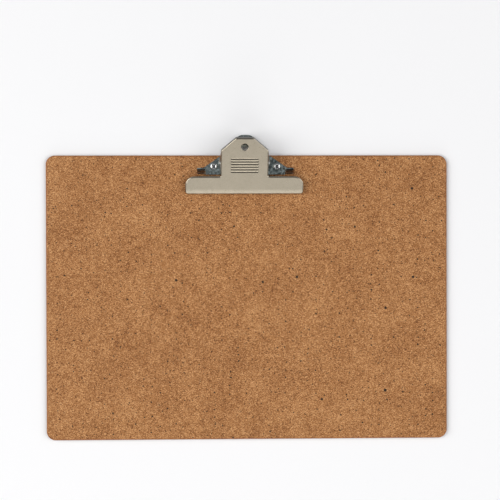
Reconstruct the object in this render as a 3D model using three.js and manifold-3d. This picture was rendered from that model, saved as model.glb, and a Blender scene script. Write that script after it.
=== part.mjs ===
// Landscape clipboard: a hardboard panel with a sprung lever clip riveted along its top edge.
//
// Millimetres, +Z up. The panel lies flat, its back face on Z = 0 and centred on the origin,
// +X to the right and +Y towards the clip. The writing surface faces +Z.
//
// Pieces: hardboard_panel, clip_base_plate, clip_lever, pivot_pin, torsion_spring,
// rivet_left, rivet_right.
// The lever turns on the pivot pin, whose axis runs along X. The spring is wound round the pin
// between the ears of the base plate: one leg lies on the base plate's tongue, the other bears
// on the underside of the lever, so that the jaw is held down on the panel.

import * as THREE from "three";
import { mergeVertices } from "three/addons/utils/BufferGeometryUtils.js";
import Module from "manifold-3d";

const wasm = await Module();
wasm.setup();
const rad = THREE.MathUtils.degToRad;

// ---------------------------------------------------------------- driving dimensions
// hardboard, A3 size with a margin
const PANEL = { w: 445, h: 315, t: 3.2, corner: 10, roundIn: 1.8, roundDown: 1.3, backChamfer: 0.35 };

const CLIP_X = -2.0; // the clip is riveted on a little left of the panel's middle
const SHEET = 1.0; // steel sheet of both pressings
const GAP = 0.1; // between pieces that lie face to face

// pivot axis, along X
const PIVOT = { y: 149.5, z: 12.5, holeR: 2.15 };

// Lever. In its own frame x is across, y runs from the jaw's front edge to the thumb end, and z
// stands out of its face, which is at z = 0.
const LEVER = {
  x: -1.2, // from the base plate's middle: it sits to the left in its side play
  y: 114.2, // origin of its frame on the panel
  z: 6.95,
  tilt: rad(22),
  jawHalf: 65.4,
  jawBack: 20.7,
  jawFrontR: 3.0,
  jawBackR: 10.4,
  thumbHalf: 26.1,
  neckR: 1.4, // where the thumb plate's sides meet the jaw
  shoulder: 50.8,
  topHalf: 9.6,
  top: 65.5,
  bend: 1.3, // outer radius of the turned-down edge
  leanFrom: 6.0,
  lean: 0.19, // the side flanges open outwards a little, per mm below leanFrom
  lipY: 5.2, // the last strip of the jaw leans further down
  lipSlope: Math.tan(rad(12)),
  holeY: 55.2,
  holeR: 4.0,
  collarR: 4.8, // the hole is drawn down into a short collar
  collarZ: -2.2,
  ribs: 6,
  ribY: 26.1,
  ribPitch: 3.06,
  ribHalf: 15.4,
  ribWide: 0.85,
  ribDeep: 0.6,
  jawDepth: 2.6,
  // depth of the side flange below the face, at places along the thumb plate's side
  flange: [
    [20.7, 2.6],
    [22.2, 3.0],
    [24.5, 5.4],
    [27.5, 10.2],
    [30.5, 12.9],
    [33.0, 13.8],
    [36.0, 13.9],
    [38.8, 12.8],
    [41.0, 10.8],
    [44.0, 8.7],
    [47.5, 7.0],
    [50.8, 5.7],
    [65.5, 5.1],
  ],
};

const BASE = {
  front: 136.2, // edge next to the paper
  barBack: 142.8,
  earGap: 12.0, // half width of the strip that runs back between the ears
  ear: 22.6, // inner face of each ear
  earR: 4.2,
  earY: [143.0, 156.0],
  bend: 1.8,
  shoulderX: 27.6,
  shoulderY: 156.8,
  wingX: 46.2,
  wingY: 143.8,
  tabX: 44.3, // paper stop, from here to the tip
  tipX: 53.6,
  tabY: 142.6, // where it starts to curl
  tabR: 2.2,
  tabSweep: rad(56),
  tabLength: 6.0,
  tongueR: 9.5,
  tongueEnd: 180.2,
  holeY: 159.8,
  holeR: 7.2,
};

const RIVET = { x: 34.8, y: 145.4, shank: 2.2, bore: 1.5, hole: 2.4, headR: 4.4, sinkR: 4.8, sinkDepth: 1.1 };

const PIN = { r: 1.9, headR: 2.8, headAt: 27.5, headThick: 0.7 };

const SPRING = { wire: 1.8, coilR: 4.6, half: 9.5, coils: 9, lowLeg: 15.5, lowSlope: rad(9.3), topLeg: 13, topSlope: rad(27.4) };

// ---------------------------------------------------------------- helpers
function solid(geometry) {
  const g = geometry.clone();
  for (const name of Object.keys(g.attributes)) if (name !== "position") g.deleteAttribute(name);
  const merged = mergeVertices(g, 1e-4);
  return new wasm.Manifold(
    new wasm.Mesh({
      numProp: 3,
      vertProperties: new Float32Array(merged.attributes.position.array),
      triVerts: new Uint32Array(merged.index.array),
    }),
  );
}

function geometryOf(manifold) {
  const m = manifold.getMesh();
  const v = new Float32Array((m.vertProperties.length / m.numProp) * 3);
  for (let i = 0; i < v.length / 3; i++) for (let k = 0; k < 3; k++) v[3 * i + k] = m.vertProperties[m.numProp * i + k];
  const g = new THREE.BufferGeometry();
  g.setAttribute("position", new THREE.BufferAttribute(v, 3));
  g.setIndex(new THREE.BufferAttribute(new Uint32Array(m.triVerts), 1));
  const flat = g.toNonIndexed();
  flat.computeVertexNormals();
  return flat;
}

// Points with outward normals round a closed outline. Corners [x, y, radius, steps] run
// counter-clockwise; extra[i] lists points on the straight run that follows corner i.
function outline(corners, extra = {}) {
  const pts = [];
  const n = corners.length;
  for (let i = 0; i < n; i++) {
    const [px, py] = corners[(i + n - 1) % n];
    const [x, y, r, steps] = corners[i];
    const [qx, qy] = corners[(i + 1) % n];
    const a = new THREE.Vector2(x - px, y - py).normalize();
    const b = new THREE.Vector2(qx - x, qy - y).normalize();
    const turn = Math.atan2(a.x * b.y - a.y * b.x, a.dot(b));
    const side = Math.sign(turn);
    const cut = r * Math.tan(Math.abs(turn) / 2);
    const cx = x - a.x * cut - a.y * r * side;
    const cy = y - a.y * cut + a.x * r * side;
    const start = Math.atan2(-a.x * side, a.y * side);
    for (let k = 0; k <= steps; k++) {
      const t = start + (turn * k) / steps;
      const dx = Math.cos(t);
      const dy = Math.sin(t);
      pts.push({ x: cx + dx * r, y: cy + dy * r, nx: dx * side, ny: dy * side });
    }
    for (const [ex, ey] of extra[i] || []) pts.push({ x: ex, y: ey, nx: b.y, ny: -b.x, extra: i });
  }
  return pts;
}

const mirrored = (right) => [...right, ...right.map(([x, y, r, k]) => [-x, y, r, k]).reverse()];

function triangulate(loop, pick) {
  const points = pick.map((i) => new THREE.Vector2(loop[i][0], loop[i][1]));
  return THREE.ShapeUtils.triangulateShape(points, []).map((t) => t.map((k) => pick[k]));
}

// A closed solid through loops of equal length, from the top loop down to the bottom one.
// parts splits both caps into polygons, each a list of point numbers.
function loft(loops, parts) {
  const n = loops[0].length;
  const groups = parts || [loops[0].map((_, i) => i)];
  const position = [];
  for (const loop of loops) for (const p of loop) position.push(...p);
  const index = [];
  for (let k = 0; k + 1 < loops.length; k++) {
    for (let i = 0; i < n; i++) {
      const j = (i + 1) % n;
      index.push(k * n + i, (k + 1) * n + i, (k + 1) * n + j, k * n + i, (k + 1) * n + j, k * n + j);
    }
  }
  const last = (loops.length - 1) * n;
  for (const pick of groups) {
    for (const [a, b, c] of triangulate(loops[0], pick)) index.push(a, b, c);
    for (const [a, b, c] of triangulate(loops[loops.length - 1], pick)) index.push(last + a, last + c, last + b);
  }
  const g = new THREE.BufferGeometry();
  g.setAttribute("position", new THREE.Float32BufferAttribute(position, 3));
  g.setIndex(index);
  return g;
}

// plate cut from an outline, between two heights
function plate(pts, z0, z1) {
  const shape = new THREE.Shape(pts.map((p) => new THREE.Vector2(p.x, p.y)));
  return new THREE.ExtrudeGeometry(shape, { depth: z1 - z0, bevelEnabled: false, steps: 1 }).translate(0, 0, z0);
}

// prism along X from x0 to x1 of a counter-clockwise polygon given as [y, z]
function prismX(poly, x0, x1) {
  const shape = new THREE.Shape(poly.map(([y, z]) => new THREE.Vector2(y, z)));
  return new THREE.ExtrudeGeometry(shape, { depth: x1 - x0, bevelEnabled: false, steps: 1 })
    .rotateX(Math.PI / 2)
    .rotateZ(Math.PI / 2)
    .translate(x0, 0, 0);
}

// prism along Y from y0 to y1 of a polygon given as [x, z]
function prismY(poly, y0, y1) {
  const shape = new THREE.Shape(poly.map(([x, z]) => new THREE.Vector2(x, z)));
  return new THREE.ExtrudeGeometry(shape, { depth: y1 - y0, bevelEnabled: false, steps: 1 })
    .rotateX(Math.PI / 2)
    .translate(0, y1, 0);
}

const rodZ = (r, z0, z1, segments = 28) =>
  new THREE.CylinderGeometry(r, r, z1 - z0, segments).rotateX(Math.PI / 2).translate(0, 0, (z0 + z1) / 2);
const rodX = (r, x0, x1, segments = 24) =>
  new THREE.CylinderGeometry(r, r, x1 - x0, segments).rotateZ(Math.PI / 2).translate((x0 + x1) / 2, 0, 0);

const arc = (cx, cy, r, a0, a1, steps) =>
  Array.from({ length: steps + 1 }, (_, k) => {
    const a = a0 + ((a1 - a0) * k) / steps;
    return [cx + r * Math.cos(a), cy + r * Math.sin(a)];
  });

// ---------------------------------------------------------------- hardboard panel
function makePanel() {
  const { w, h, t, corner, roundIn, roundDown, backChamfer } = PANEL;
  const pts = outline([
    [w / 2, -h / 2, corner, 8],
    [w / 2, h / 2, corner, 8],
    [-w / 2, h / 2, corner, 8],
    [-w / 2, -h / 2, corner, 8],
  ]);
  const ring = (d, z) => pts.map((p) => [p.x - d * p.nx, p.y - d * p.ny, z]);
  const loops = [0, 1, 2, 3].map((k) => {
    const a = ((Math.PI / 2) * k) / 3;
    return ring(roundIn * (1 - Math.sin(a)), t - roundDown * (1 - Math.cos(a)));
  });
  loops.push(ring(0, backChamfer), ring(backChamfer, 0));
  let m = solid(loft(loops));
  for (const sx of [-1, 1]) {
    m = m
      .subtract(solid(rodZ(RIVET.hole, -5, 5 + t, 24).translate(CLIP_X + sx * RIVET.x, RIVET.y, 0)))
      .subtract(solid(rodZ(RIVET.sinkR, -5, RIVET.sinkDepth, 24).translate(CLIP_X + sx * RIVET.x, RIVET.y, 0)));
  }
  return m;
}

// ---------------------------------------------------------------- base plate
function makeBase() {
  const b = BASE;
  const z0 = PANEL.t + GAP;
  const z1 = z0 + SHEET;
  const outer = b.ear + SHEET; // outer face of an ear
  const root = b.ear + b.bend; // where an ear's bend runs out into the wing

  const blank = outline(
    mirrored([
      [b.tabX, b.front, 0.8, 2],
      [b.tabX, b.tabY, 0.3, 1],
      [b.tipX, b.tabY, 0.1, 1],
      [b.tipX, b.wingY, 1.0, 3],
      [b.wingX, b.wingY, 1.2, 3],
      [b.shoulderX, b.shoulderY, 1.2, 3],
      [root, b.shoulderY, 0.5, 2],
      [root, b.barBack, 1.0, 3],
      [b.earGap, b.barBack, 1.0, 3],
      [b.earGap - 0.01, b.tongueEnd, b.tongueR, 10],
    ]),
  );
  let m = solid(plate(blank, z0, z1));

  // ears: an angle section, trimmed to a round top about the pivot
  const [y0, y1] = b.earY;
  const section = [
    [root + 0.6, z0],
    [root + 0.6, z1],
    ...arc(root, z0 + b.bend, b.bend - SHEET, -Math.PI / 2, -Math.PI, 3),
    [outer, 20],
    [b.ear, 20],
    ...arc(root, z0 + b.bend, b.bend, -Math.PI, -Math.PI / 2, 5),
  ];
  const trim = [
    [y0, z0 - 1],
    [y1, z0 - 1],
    [y1, z0 + 3.2],
    ...arc(PIVOT.y, PIVOT.z, b.earR, rad(-8), rad(188), 12),
    [y0, z0 + 3.2],
  ];
  const ear = solid(prismY(section, y0, y1))
    .intersect(solid(prismX(trim, 0, 40)))
    .subtract(solid(rodX(PIVOT.holeR, 10, 40).translate(0, PIVOT.y, PIVOT.z)));
  const mirror = (manifold) => {
    const g = geometryOf(manifold);
    const p = g.attributes.position;
    for (let i = 0; i < p.count; i += 3) {
      const [a, c, e] = [0, 1, 2].map((k) => [-p.getX(i + k), p.getY(i + k), p.getZ(i + k)]);
      p.setXYZ(i, ...a);
      p.setXYZ(i + 1, ...e);
      p.setXYZ(i + 2, ...c);
    }
    return solid(g);
  };

  // paper stop: curls up from the wing's tip, towards the paper
  const cz = z1 + b.tabR;
  const inner = arc(b.tabY, cz, b.tabR, -Math.PI / 2, -Math.PI / 2 - b.tabSweep, 4);
  const outerArc = arc(b.tabY, cz, b.tabR + SHEET, -Math.PI / 2 - b.tabSweep, -Math.PI / 2, 4);
  const along = [-Math.cos(b.tabSweep) * b.tabLength, Math.sin(b.tabSweep) * b.tabLength];
  const shift = ([y, z]) => [y + along[0], z + along[1]];
  const stop = [
    [b.tabY + 0.7, z0],
    [b.tabY + 0.7, z1],
    ...inner,
    shift(inner[inner.length - 1]),
    shift(outerArc[0]),
    ...outerArc,
  ];
  const tab = solid(prismX(stop, b.tabX, b.tipX));

  m = m.add(ear).add(mirror(ear)).add(tab).add(mirror(tab));
  m = m.subtract(solid(rodZ(b.holeR, 0, 10).translate(0, b.holeY, 0)));
  for (const sx of [-1, 1]) m = m.subtract(solid(rodZ(RIVET.hole, 0, 10, 24).translate(sx * RIVET.x, RIVET.y, 0)));
  return m;
}

// ---------------------------------------------------------------- lever
function depthAt(p) {
  const L = LEVER;
  if (Math.abs(p.x) > L.thumbHalf + 0.4 || p.y <= L.flange[0][0]) return L.jawDepth;
  for (let k = 1; k < L.flange.length; k++) {
    const [s0, d0] = L.flange[k - 1];
    const [s1, d1] = L.flange[k];
    if (p.y <= s1) return d0 + ((d1 - d0) * (p.y - s0)) / (s1 - s0);
  }
  return L.flange[L.flange.length - 1][1];
}

function makeLever() {
  const L = LEVER;
  const right = [
    [L.jawHalf, 0, L.jawFrontR, 4],
    [L.jawHalf, L.jawBack, L.jawBackR, 7],
    [L.thumbHalf, L.jawBack, L.neckR, 3],
    [L.thumbHalf, L.shoulder, 2.2, 2],
    [L.topHalf, L.top, 2.2, 2],
  ];
  const side = L.flange.map(([s]) => s).filter((s) => s > 23 && s < L.shoulder - 1.5);
  const pts = outline(mirrored(right), {
    0: [[L.jawHalf, L.lipY]],
    2: side.map((s) => [L.thumbHalf, s]),
    6: side.map((s) => [-L.thumbHalf, s]).reverse(),
    8: [[-L.jawHalf, L.lipY]],
  });
  const i0 = pts.findIndex((p) => p.extra === 0);
  const i1 = pts.findIndex((p) => p.extra === 8);
  const numbers = pts.map((_, i) => i);
  const parts = [numbers.slice(i0, i1 + 1), [...numbers.slice(i1), ...numbers.slice(0, i0 + 1)]];

  const ring = (inset, height) =>
    pts.map((p) => {
      const deep = depthAt(p);
      const d = inset(deep);
      const y = p.y - d * p.ny;
      // the whole edge of the front strip follows its slope
      const lip = Math.max(0, L.lipY - Math.max(0, y)) * L.lipSlope;
      return [p.x - d * p.nx, y, height(deep) - lip];
    });
  const flare = (deep) => Math.max(0, deep - L.leanFrom) * L.lean;
  const inR = L.bend - SHEET;
  const loops = [];
  for (let k = 0; k <= 3; k++) {
    const a = ((Math.PI / 2) * k) / 3;
    loops.push(ring(() => L.bend * (1 - Math.sin(a)), () => -L.bend * (1 - Math.cos(a))));
  }
  loops.push(ring((deep) => -flare(deep), (deep) => -deep));
  loops.push(ring((deep) => SHEET - flare(deep), (deep) => -deep));
  for (let k = 2; k >= 0; k--) {
    const a = ((Math.PI / 2) * k) / 2;
    loops.push(ring(() => L.bend - inR * Math.sin(a), () => -L.bend + inR * Math.cos(a)));
  }
  let m = solid(loft(loops, parts));

  // ribs pressed in from the front, which stand out underneath
  for (let k = 0; k < L.ribs; k++) {
    const level = (w, z) => {
      const c = [
        [L.ribHalf - L.ribWide + w, -w, w, 3],
        [L.ribHalf - L.ribWide + w, w, w, 3],
        [-L.ribHalf + L.ribWide - w, w, w, 3],
        [-L.ribHalf + L.ribWide - w, -w, w, 3],
      ];
      return outline(c).map((p) => [p.x, p.y + L.ribY + k * L.ribPitch, z]);
    };
    const w = L.ribWide;
    const g = loft([level(w, 0.3), level(w, 0), level(0.72 * w, -0.72 * L.ribDeep), level(0.3 * w, -L.ribDeep)]);
    m = m.add(solid(g.clone().translate(0, 0, -SHEET))).subtract(solid(g));
  }

  // hang hole with its collar, then the pivot holes
  m = m.subtract(solid(rodZ(L.holeR + 0.3, -5, 5).translate(0, L.holeY, 0)));
  const collar = [
    [L.holeR, -0.25],
    [L.holeR, L.collarZ],
    [L.collarR, L.collarZ],
    [L.collarR, -0.4],
    [L.holeR + 0.45, -0.02],
    [L.holeR + 0.25, -0.02],
    [L.holeR, -0.25],
  ].map(([r, z]) => new THREE.Vector2(r, z));
  m = m.add(solid(new THREE.LatheGeometry(collar, 28).rotateX(Math.PI / 2).translate(0, L.holeY, 0)));
  const [py, pz] = leverPoint(PIVOT.y, PIVOT.z);
  m = m.subtract(solid(rodX(PIVOT.holeR, -40, 40).translate(0, py, pz)));
  return m;
}

// a point of the panel's YZ plane in the lever's frame
function leverPoint(y, z) {
  const L = LEVER;
  const dy = y - L.y;
  const dz = z - L.z;
  return [dy * Math.cos(L.tilt) + dz * Math.sin(L.tilt), -dy * Math.sin(L.tilt) + dz * Math.cos(L.tilt)];
}

// ---------------------------------------------------------------- pin, spring and rivets
function makePin() {
  const { r, headR, headAt: a, headThick: t } = PIN;
  const half = [
    [r, a],
    [headR, a],
    [headR, a + 0.35 * t],
    [0.75 * headR, a + 0.85 * t],
    [0, a + t],
  ];
  const profile = [...half.map(([q, y]) => [q, -y]).reverse(), ...half].map(([q, y]) => new THREE.Vector2(q, y));
  return solid(new THREE.LatheGeometry(profile, 24).rotateZ(Math.PI / 2));
}

// wire from the end of the lower leg, round the pin and out along the upper leg
function makeSpring() {
  const s = SPRING;
  const a0 = -Math.PI / 2 - s.lowSlope;
  const a1 = Math.PI / 2 + s.topSlope - 2 * Math.PI * (s.coils + 1);
  const at = (a, x) => new THREE.Vector3(x, s.coilR * Math.cos(a), s.coilR * Math.sin(a));
  const steps = Math.round((Math.abs(a1 - a0) / (2 * Math.PI)) * 14);
  const points = [];
  const legIn = new THREE.Vector3(0, Math.cos(s.lowSlope), -Math.sin(s.lowSlope));
  const legOut = new THREE.Vector3(0, Math.cos(s.topSlope), Math.sin(s.topSlope));
  for (const k of [1, 0.5, 0.12]) points.push(at(a0, -s.half).addScaledVector(legIn, s.lowLeg * k));
  for (let k = 0; k <= steps; k++) points.push(at(a0 + ((a1 - a0) * k) / steps, -s.half + (2 * s.half * k) / steps));
  for (const k of [0.12, 0.5, 1]) points.push(at(a1, s.half).addScaledVector(legOut, s.topLeg * k));

  // an eight-sided section carried along the points, turned so that one axis stays radial
  const sides = 8;
  const loops = points.map((p, i) => {
    const ahead = points[Math.min(i + 1, points.length - 1)];
    const behind = points[Math.max(i - 1, 0)];
    const t = ahead.clone().sub(behind).normalize();
    const u = new THREE.Vector3(1, 0, 0).addScaledVector(t, -t.x).normalize();
    const v = new THREE.Vector3().crossVectors(t, u);
    return Array.from({ length: sides }, (_, k) => {
      const a = (2 * Math.PI * (k + 0.5)) / sides;
      const q = p
        .clone()
        .addScaledVector(u, (s.wire / 2) * Math.cos(a))
        .addScaledVector(v, (s.wire / 2) * Math.sin(a));
      return [q.x, q.y, q.z];
    });
  });
  const position = loops.flat(2);
  const index = [];
  for (let k = 0; k + 1 < loops.length; k++) {
    for (let i = 0; i < sides; i++) {
      const j = (i + 1) % sides;
      index.push(k * sides + i, k * sides + j, (k + 1) * sides + j, k * sides + i, (k + 1) * sides + j, (k + 1) * sides + i);
    }
  }
  const last = (loops.length - 1) * sides;
  for (let i = 1; i + 1 < sides; i++) index.push(0, i + 1, i, last, last + i, last + i + 1);
  const g = new THREE.BufferGeometry();
  g.setAttribute("position", new THREE.Float32BufferAttribute(position, 3));
  g.setIndex(index);
  return solid(g);
}

// hollow rivet: flat head sunk in the panel's back, rolled rim on the base plate
function makeRivet() {
  const top = PANEL.t + GAP + SHEET + GAP;
  const { shank, bore, headR } = RIVET;
  const profile = [
    [bore, 0.2],
    [headR - 0.3, 0.2],
    [headR, 0.45],
    [headR, 0.75],
    [headR - 0.25, 0.95],
    [shank, 0.95],
    [shank, top],
    [3.3, top],
    [3.65, top + 0.3],
    [3.55, top + 0.75],
    [3.1, top + 1.1],
    [2.5, top + 1.2],
    [1.9, top + 1.0],
    [bore, top + 0.5],
    [bore, 0.2],
  ].map(([r, z]) => new THREE.Vector2(r, z));
  return solid(new THREE.LatheGeometry(profile, 24).rotateX(Math.PI / 2));
}

// ---------------------------------------------------------------- assembly
const hardboard = new THREE.MeshStandardMaterial({ color: 0xa9724a, roughness: 0.72, metalness: 0 });
const nickel = new THREE.MeshStandardMaterial({ color: 0xb9b09c, roughness: 0.34, metalness: 1 });
const zinc = new THREE.MeshStandardMaterial({ color: 0x8f9898, roughness: 0.22, metalness: 1 });
const bright = new THREE.MeshStandardMaterial({ color: 0xc9cccb, roughness: 0.12, metalness: 1 });
const wire = new THREE.MeshStandardMaterial({ color: 0x77787a, roughness: 0.3, metalness: 1 });

const clipboard = new THREE.Group();
const clip = new THREE.Group();
clip.position.x = CLIP_X;
clipboard.add(clip);

function piece(group, name, manifold, material, position = [0, 0, 0], tilt = 0) {
  const g = geometryOf(manifold);
  const volume = (() => {
    let v = 0;
    const p = g.attributes.position;
    const a = new THREE.Vector3(), b = new THREE.Vector3(), c = new THREE.Vector3();
    for (let i = 0; i < p.count; i += 3) {
      a.fromBufferAttribute(p, i);
      b.fromBufferAttribute(p, i + 1);
      c.fromBufferAttribute(p, i + 2);
      v += a.dot(b.cross(c)) / 6;
    }
    return v;
  })();
  if (!(volume > 0)) throw new Error(name + " is inside out");
  const mesh = new THREE.Mesh(g, material);
  mesh.name = name;
  mesh.position.set(...position);
  mesh.rotation.x = tilt;
  group.add(mesh);
}

piece(clipboard, "hardboard_panel", makePanel(), hardboard);
piece(clip, "clip_base_plate", makeBase(), zinc);
piece(clip, "clip_lever", makeLever(), nickel, [LEVER.x, LEVER.y, LEVER.z], LEVER.tilt);
piece(clip, "pivot_pin", makePin(), bright, [LEVER.x, PIVOT.y, PIVOT.z]);
piece(clip, "torsion_spring", makeSpring(), wire, [0, PIVOT.y, PIVOT.z]);
piece(clip, "rivet_left", makeRivet(), bright, [-RIVET.x, RIVET.y, 0]);
piece(clip, "rivet_right", makeRivet(), bright, [RIVET.x, RIVET.y, 0]);

export default clipboard;
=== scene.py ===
import math

import bmesh
import bpy
import numpy as np
from mathutils import Matrix, Vector
from mathutils.geometry import delaunay_2d_cdt


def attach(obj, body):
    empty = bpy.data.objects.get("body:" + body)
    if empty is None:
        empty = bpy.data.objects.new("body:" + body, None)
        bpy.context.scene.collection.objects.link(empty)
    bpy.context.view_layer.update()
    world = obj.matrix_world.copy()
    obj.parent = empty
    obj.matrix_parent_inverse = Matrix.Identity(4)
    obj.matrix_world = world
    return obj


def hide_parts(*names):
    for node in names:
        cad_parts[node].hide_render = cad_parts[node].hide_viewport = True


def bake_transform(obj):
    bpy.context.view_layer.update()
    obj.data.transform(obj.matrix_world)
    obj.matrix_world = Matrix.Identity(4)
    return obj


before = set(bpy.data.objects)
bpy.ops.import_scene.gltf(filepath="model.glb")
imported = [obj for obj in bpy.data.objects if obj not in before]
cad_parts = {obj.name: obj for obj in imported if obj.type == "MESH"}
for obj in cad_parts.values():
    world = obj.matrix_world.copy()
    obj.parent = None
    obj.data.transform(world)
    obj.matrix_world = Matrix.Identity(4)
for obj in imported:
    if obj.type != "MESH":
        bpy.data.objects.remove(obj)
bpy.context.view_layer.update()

# ---------------------------------------------------------------- dimensions, mm, as in part.mjs
PANEL = dict(w=444.998, h=314.998, t=3.2, corner=10.0, round_in=1.8, round_down=1.3, back=0.35)
CLIP_X = -2.0
SHEET = 1.0
GAP = 0.1
PIVOT_Y, PIVOT_Z, PIN_HOLE = 149.5, 12.5, 2.15
LX, LY, LZ, TILT = -1.2, 114.2, 6.95, math.radians(22)
RIVET_X, RIVET_Y = 34.8, 145.4
rad = math.radians


# ---------------------------------------------------------------- mesh helpers (all in mm)
def outline(corners, extra=None, seg=None):
    """Points (x, y, nx, ny) round a closed counter-clockwise outline with rounded corners (x, y, r, steps).
    seg is the longest straight step."""
    extra = extra or {}
    pts = []
    n = len(corners)
    ends = []
    for i in range(n):
        px, py = corners[i - 1][:2]
        x, y, r, steps = corners[i]
        qx, qy = corners[(i + 1) % n][:2]
        a = Vector((x - px, y - py)).normalized()
        b = Vector((qx - x, qy - y)).normalized()
        turn = math.atan2(a.x * b.y - a.y * b.x, a.dot(b))
        side = 1 if turn > 0 else -1
        cut = r * math.tan(abs(turn) / 2)
        cx, cy = x - a.x * cut - a.y * r * side, y - a.y * cut + a.x * r * side
        start = math.atan2(-a.x * side, a.y * side)
        arc = []
        for k in range(steps + 1):
            t = start + turn * k / steps
            arc.append((cx + math.cos(t) * r, cy + math.sin(t) * r, math.cos(t) * side, math.sin(t) * side))
        ends.append((arc, b))
    for i in range(n):
        arc, b = ends[i]
        pts += arc
        nx, ny = b.y, -b.x
        x0, y0 = arc[-1][:2]
        x1, y1 = ends[(i + 1) % n][0][0][:2]
        stops = list(extra.get(i, []))
        if seg and not stops:
            length = math.hypot(x1 - x0, y1 - y0)
            m = int(length // seg)
            stops = [(x0 + (x1 - x0) * k / (m + 1), y0 + (y1 - y0) * k / (m + 1)) for k in range(1, m + 1)]
        pts += [(ex, ey, nx, ny) for ex, ey in stops]
    out = []
    for p in pts:
        if not out or math.hypot(p[0] - out[-1][0], p[1] - out[-1][1]) > 1e-5:
            out.append(p)
    if math.hypot(out[0][0] - out[-1][0], out[0][1] - out[-1][1]) < 1e-5:
        out.pop()
    return out


def mirrored(right):
    return right + [(-c[0],) + tuple(c[1:]) for c in reversed(right)]


def cross_at(pts, values):
    """Adds a point wherever the outline crosses one of the lines y = value."""
    for v in values:
        out = []
        n = len(pts)
        for i in range(n):
            p, q = pts[i], pts[(i + 1) % n]
            out.append(p)
            if (p[1] - v) * (q[1] - v) < 0 and min(abs(p[1] - v), abs(q[1] - v)) > 1e-4:
                t = (v - p[1]) / (q[1] - p[1])
                out.append((p[0] + (q[0] - p[0]) * t, v, p[2] + (q[2] - p[2]) * t, p[3] + (q[3] - p[3]) * t))
        pts = out
    return pts


def circle(cx, cy, r, n):
    return [
        (cx + r * math.cos(2 * math.pi * k / n), cy + r * math.sin(2 * math.pi * k / n),
         math.cos(2 * math.pi * k / n), math.sin(2 * math.pi * k / n))
        for k in range(n)
    ]


def inside(poly, pts):
    """Even-odd test of points (m, 2) against a closed polygon (n, 2)."""
    x, y = pts[:, 0][:, None], pts[:, 1][:, None]
    a, b = poly, np.roll(poly, -1, axis=0)
    ax, ay, bx, by = a[:, 0][None], a[:, 1][None], b[:, 0][None], b[:, 1][None]
    hit = (ay > y) != (by > y)
    with np.errstate(divide="ignore", invalid="ignore"):
        cx = ax + (y - ay) * (bx - ax) / (by - ay)
    return (hit & (x < cx)).sum(1) % 2 == 1


def fill(outer, holes=(), extra_edges=(), extra_points=()):
    """Triangles over an outer loop with holes. Loops are lists of (x, y); numbers run through outer, then holes,
    then extra_points. Returns counter-clockwise triples."""
    loops = [outer] + list(holes)
    pts, edges = [], []
    for loop in loops:
        o = len(pts)
        pts += [Vector(p) for p in loop]
        edges += [(o + k, o + (k + 1) % len(loop)) for k in range(len(loop))]
    pts += [Vector(p) for p in extra_points]
    edges += list(extra_edges)
    verts, _, faces, orig, _, _ = delaunay_2d_cdt(pts, edges, [], 0, 1e-7)
    arr = np.array([tuple(v) for v in verts])
    tri = np.array([f for f in faces], int)
    mid = arr[tri].mean(1)
    keep = inside(np.array(outer), mid)
    for h in holes:
        keep &= ~inside(np.array(h), mid)
    out = []
    for f in tri[keep]:
        ids = [orig[k][0] for k in f]
        a, b, c = (arr[k] for k in f)
        if (b[0] - a[0]) * (c[1] - a[1]) - (b[1] - a[1]) * (c[0] - a[0]) < 0:
            ids = ids[::-1]
        out.append(tuple(ids))
    return out


class Build:
    """Vertices and faces of one closed mesh."""

    def __init__(self):
        self.v, self.f = [], []

    def ring(self, pts):
        o = len(self.v)
        self.v += [tuple(p) for p in pts]
        return list(range(o, o + len(pts)))

    def wall(self, a, b, flip=False):
        """Quads between two rings of equal length, facing out when b lies below a on a counter-clockwise loop."""
        n = len(a)
        for i in range(n):
            j = (i + 1) % n
            q = (a[i], b[i], b[j], a[j])
            self.f.append(q[::-1] if flip else q)

    def faces(self, triples, ids, flip=False):
        for t in triples:
            q = tuple(ids[k] for k in t)
            self.f.append(q[::-1] if flip else q)

    def object(self, name, scale=0.001):
        me = bpy.data.meshes.new(name)
        me.from_pydata([Vector(p) * scale for p in self.v], [], self.f)
        me.validate()
        me.update()
        ob = bpy.data.objects.new(name, me)
        bpy.context.scene.collection.objects.link(ob)
        return ob


def tidy(ob, angle=30, merge=2e-7):
    """Welds seams, makes the normals point out and smooths all but the sharp edges."""
    bm = bmesh.new()
    bm.from_mesh(ob.data)
    bmesh.ops.remove_doubles(bm, verts=bm.verts, dist=merge)
    bmesh.ops.dissolve_degenerate(bm, edges=bm.edges, dist=1e-7)
    bmesh.ops.recalc_face_normals(bm, faces=bm.faces)
    loose = [e for e in bm.edges if not e.is_manifold]
    if loose:
        print("OPEN EDGES", ob.name, len(loose))
    limit = math.radians(angle)
    for f in bm.faces:
        f.smooth = True
    for e in bm.edges:
        e.smooth = len(e.link_faces) == 2 and e.calc_face_angle(0) < limit
    bm.to_mesh(ob.data)
    bm.free()
    ob.data.update()
    return ob


def boolean(ob, other, operation):
    mod = ob.modifiers.new("cut", "BOOLEAN")
    mod.operation = operation
    mod.solver = "EXACT"
    mod.object = other
    dg = bpy.context.evaluated_depsgraph_get()
    me = bpy.data.meshes.new_from_object(ob.evaluated_get(dg))
    ob.modifiers.clear()
    old = ob.data
    ob.data = me
    bpy.data.meshes.remove(old)
    me.name = ob.name
    bpy.data.objects.remove(other)
    return ob


def weighted(ob):
    """Flat faces keep their own normal right up to the rounded edges."""
    mod = ob.modifiers.new("normals", "WEIGHTED_NORMAL")
    mod.keep_sharp = True
    mod.weight = 100
    mod.mode = "FACE_AREA"


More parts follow.
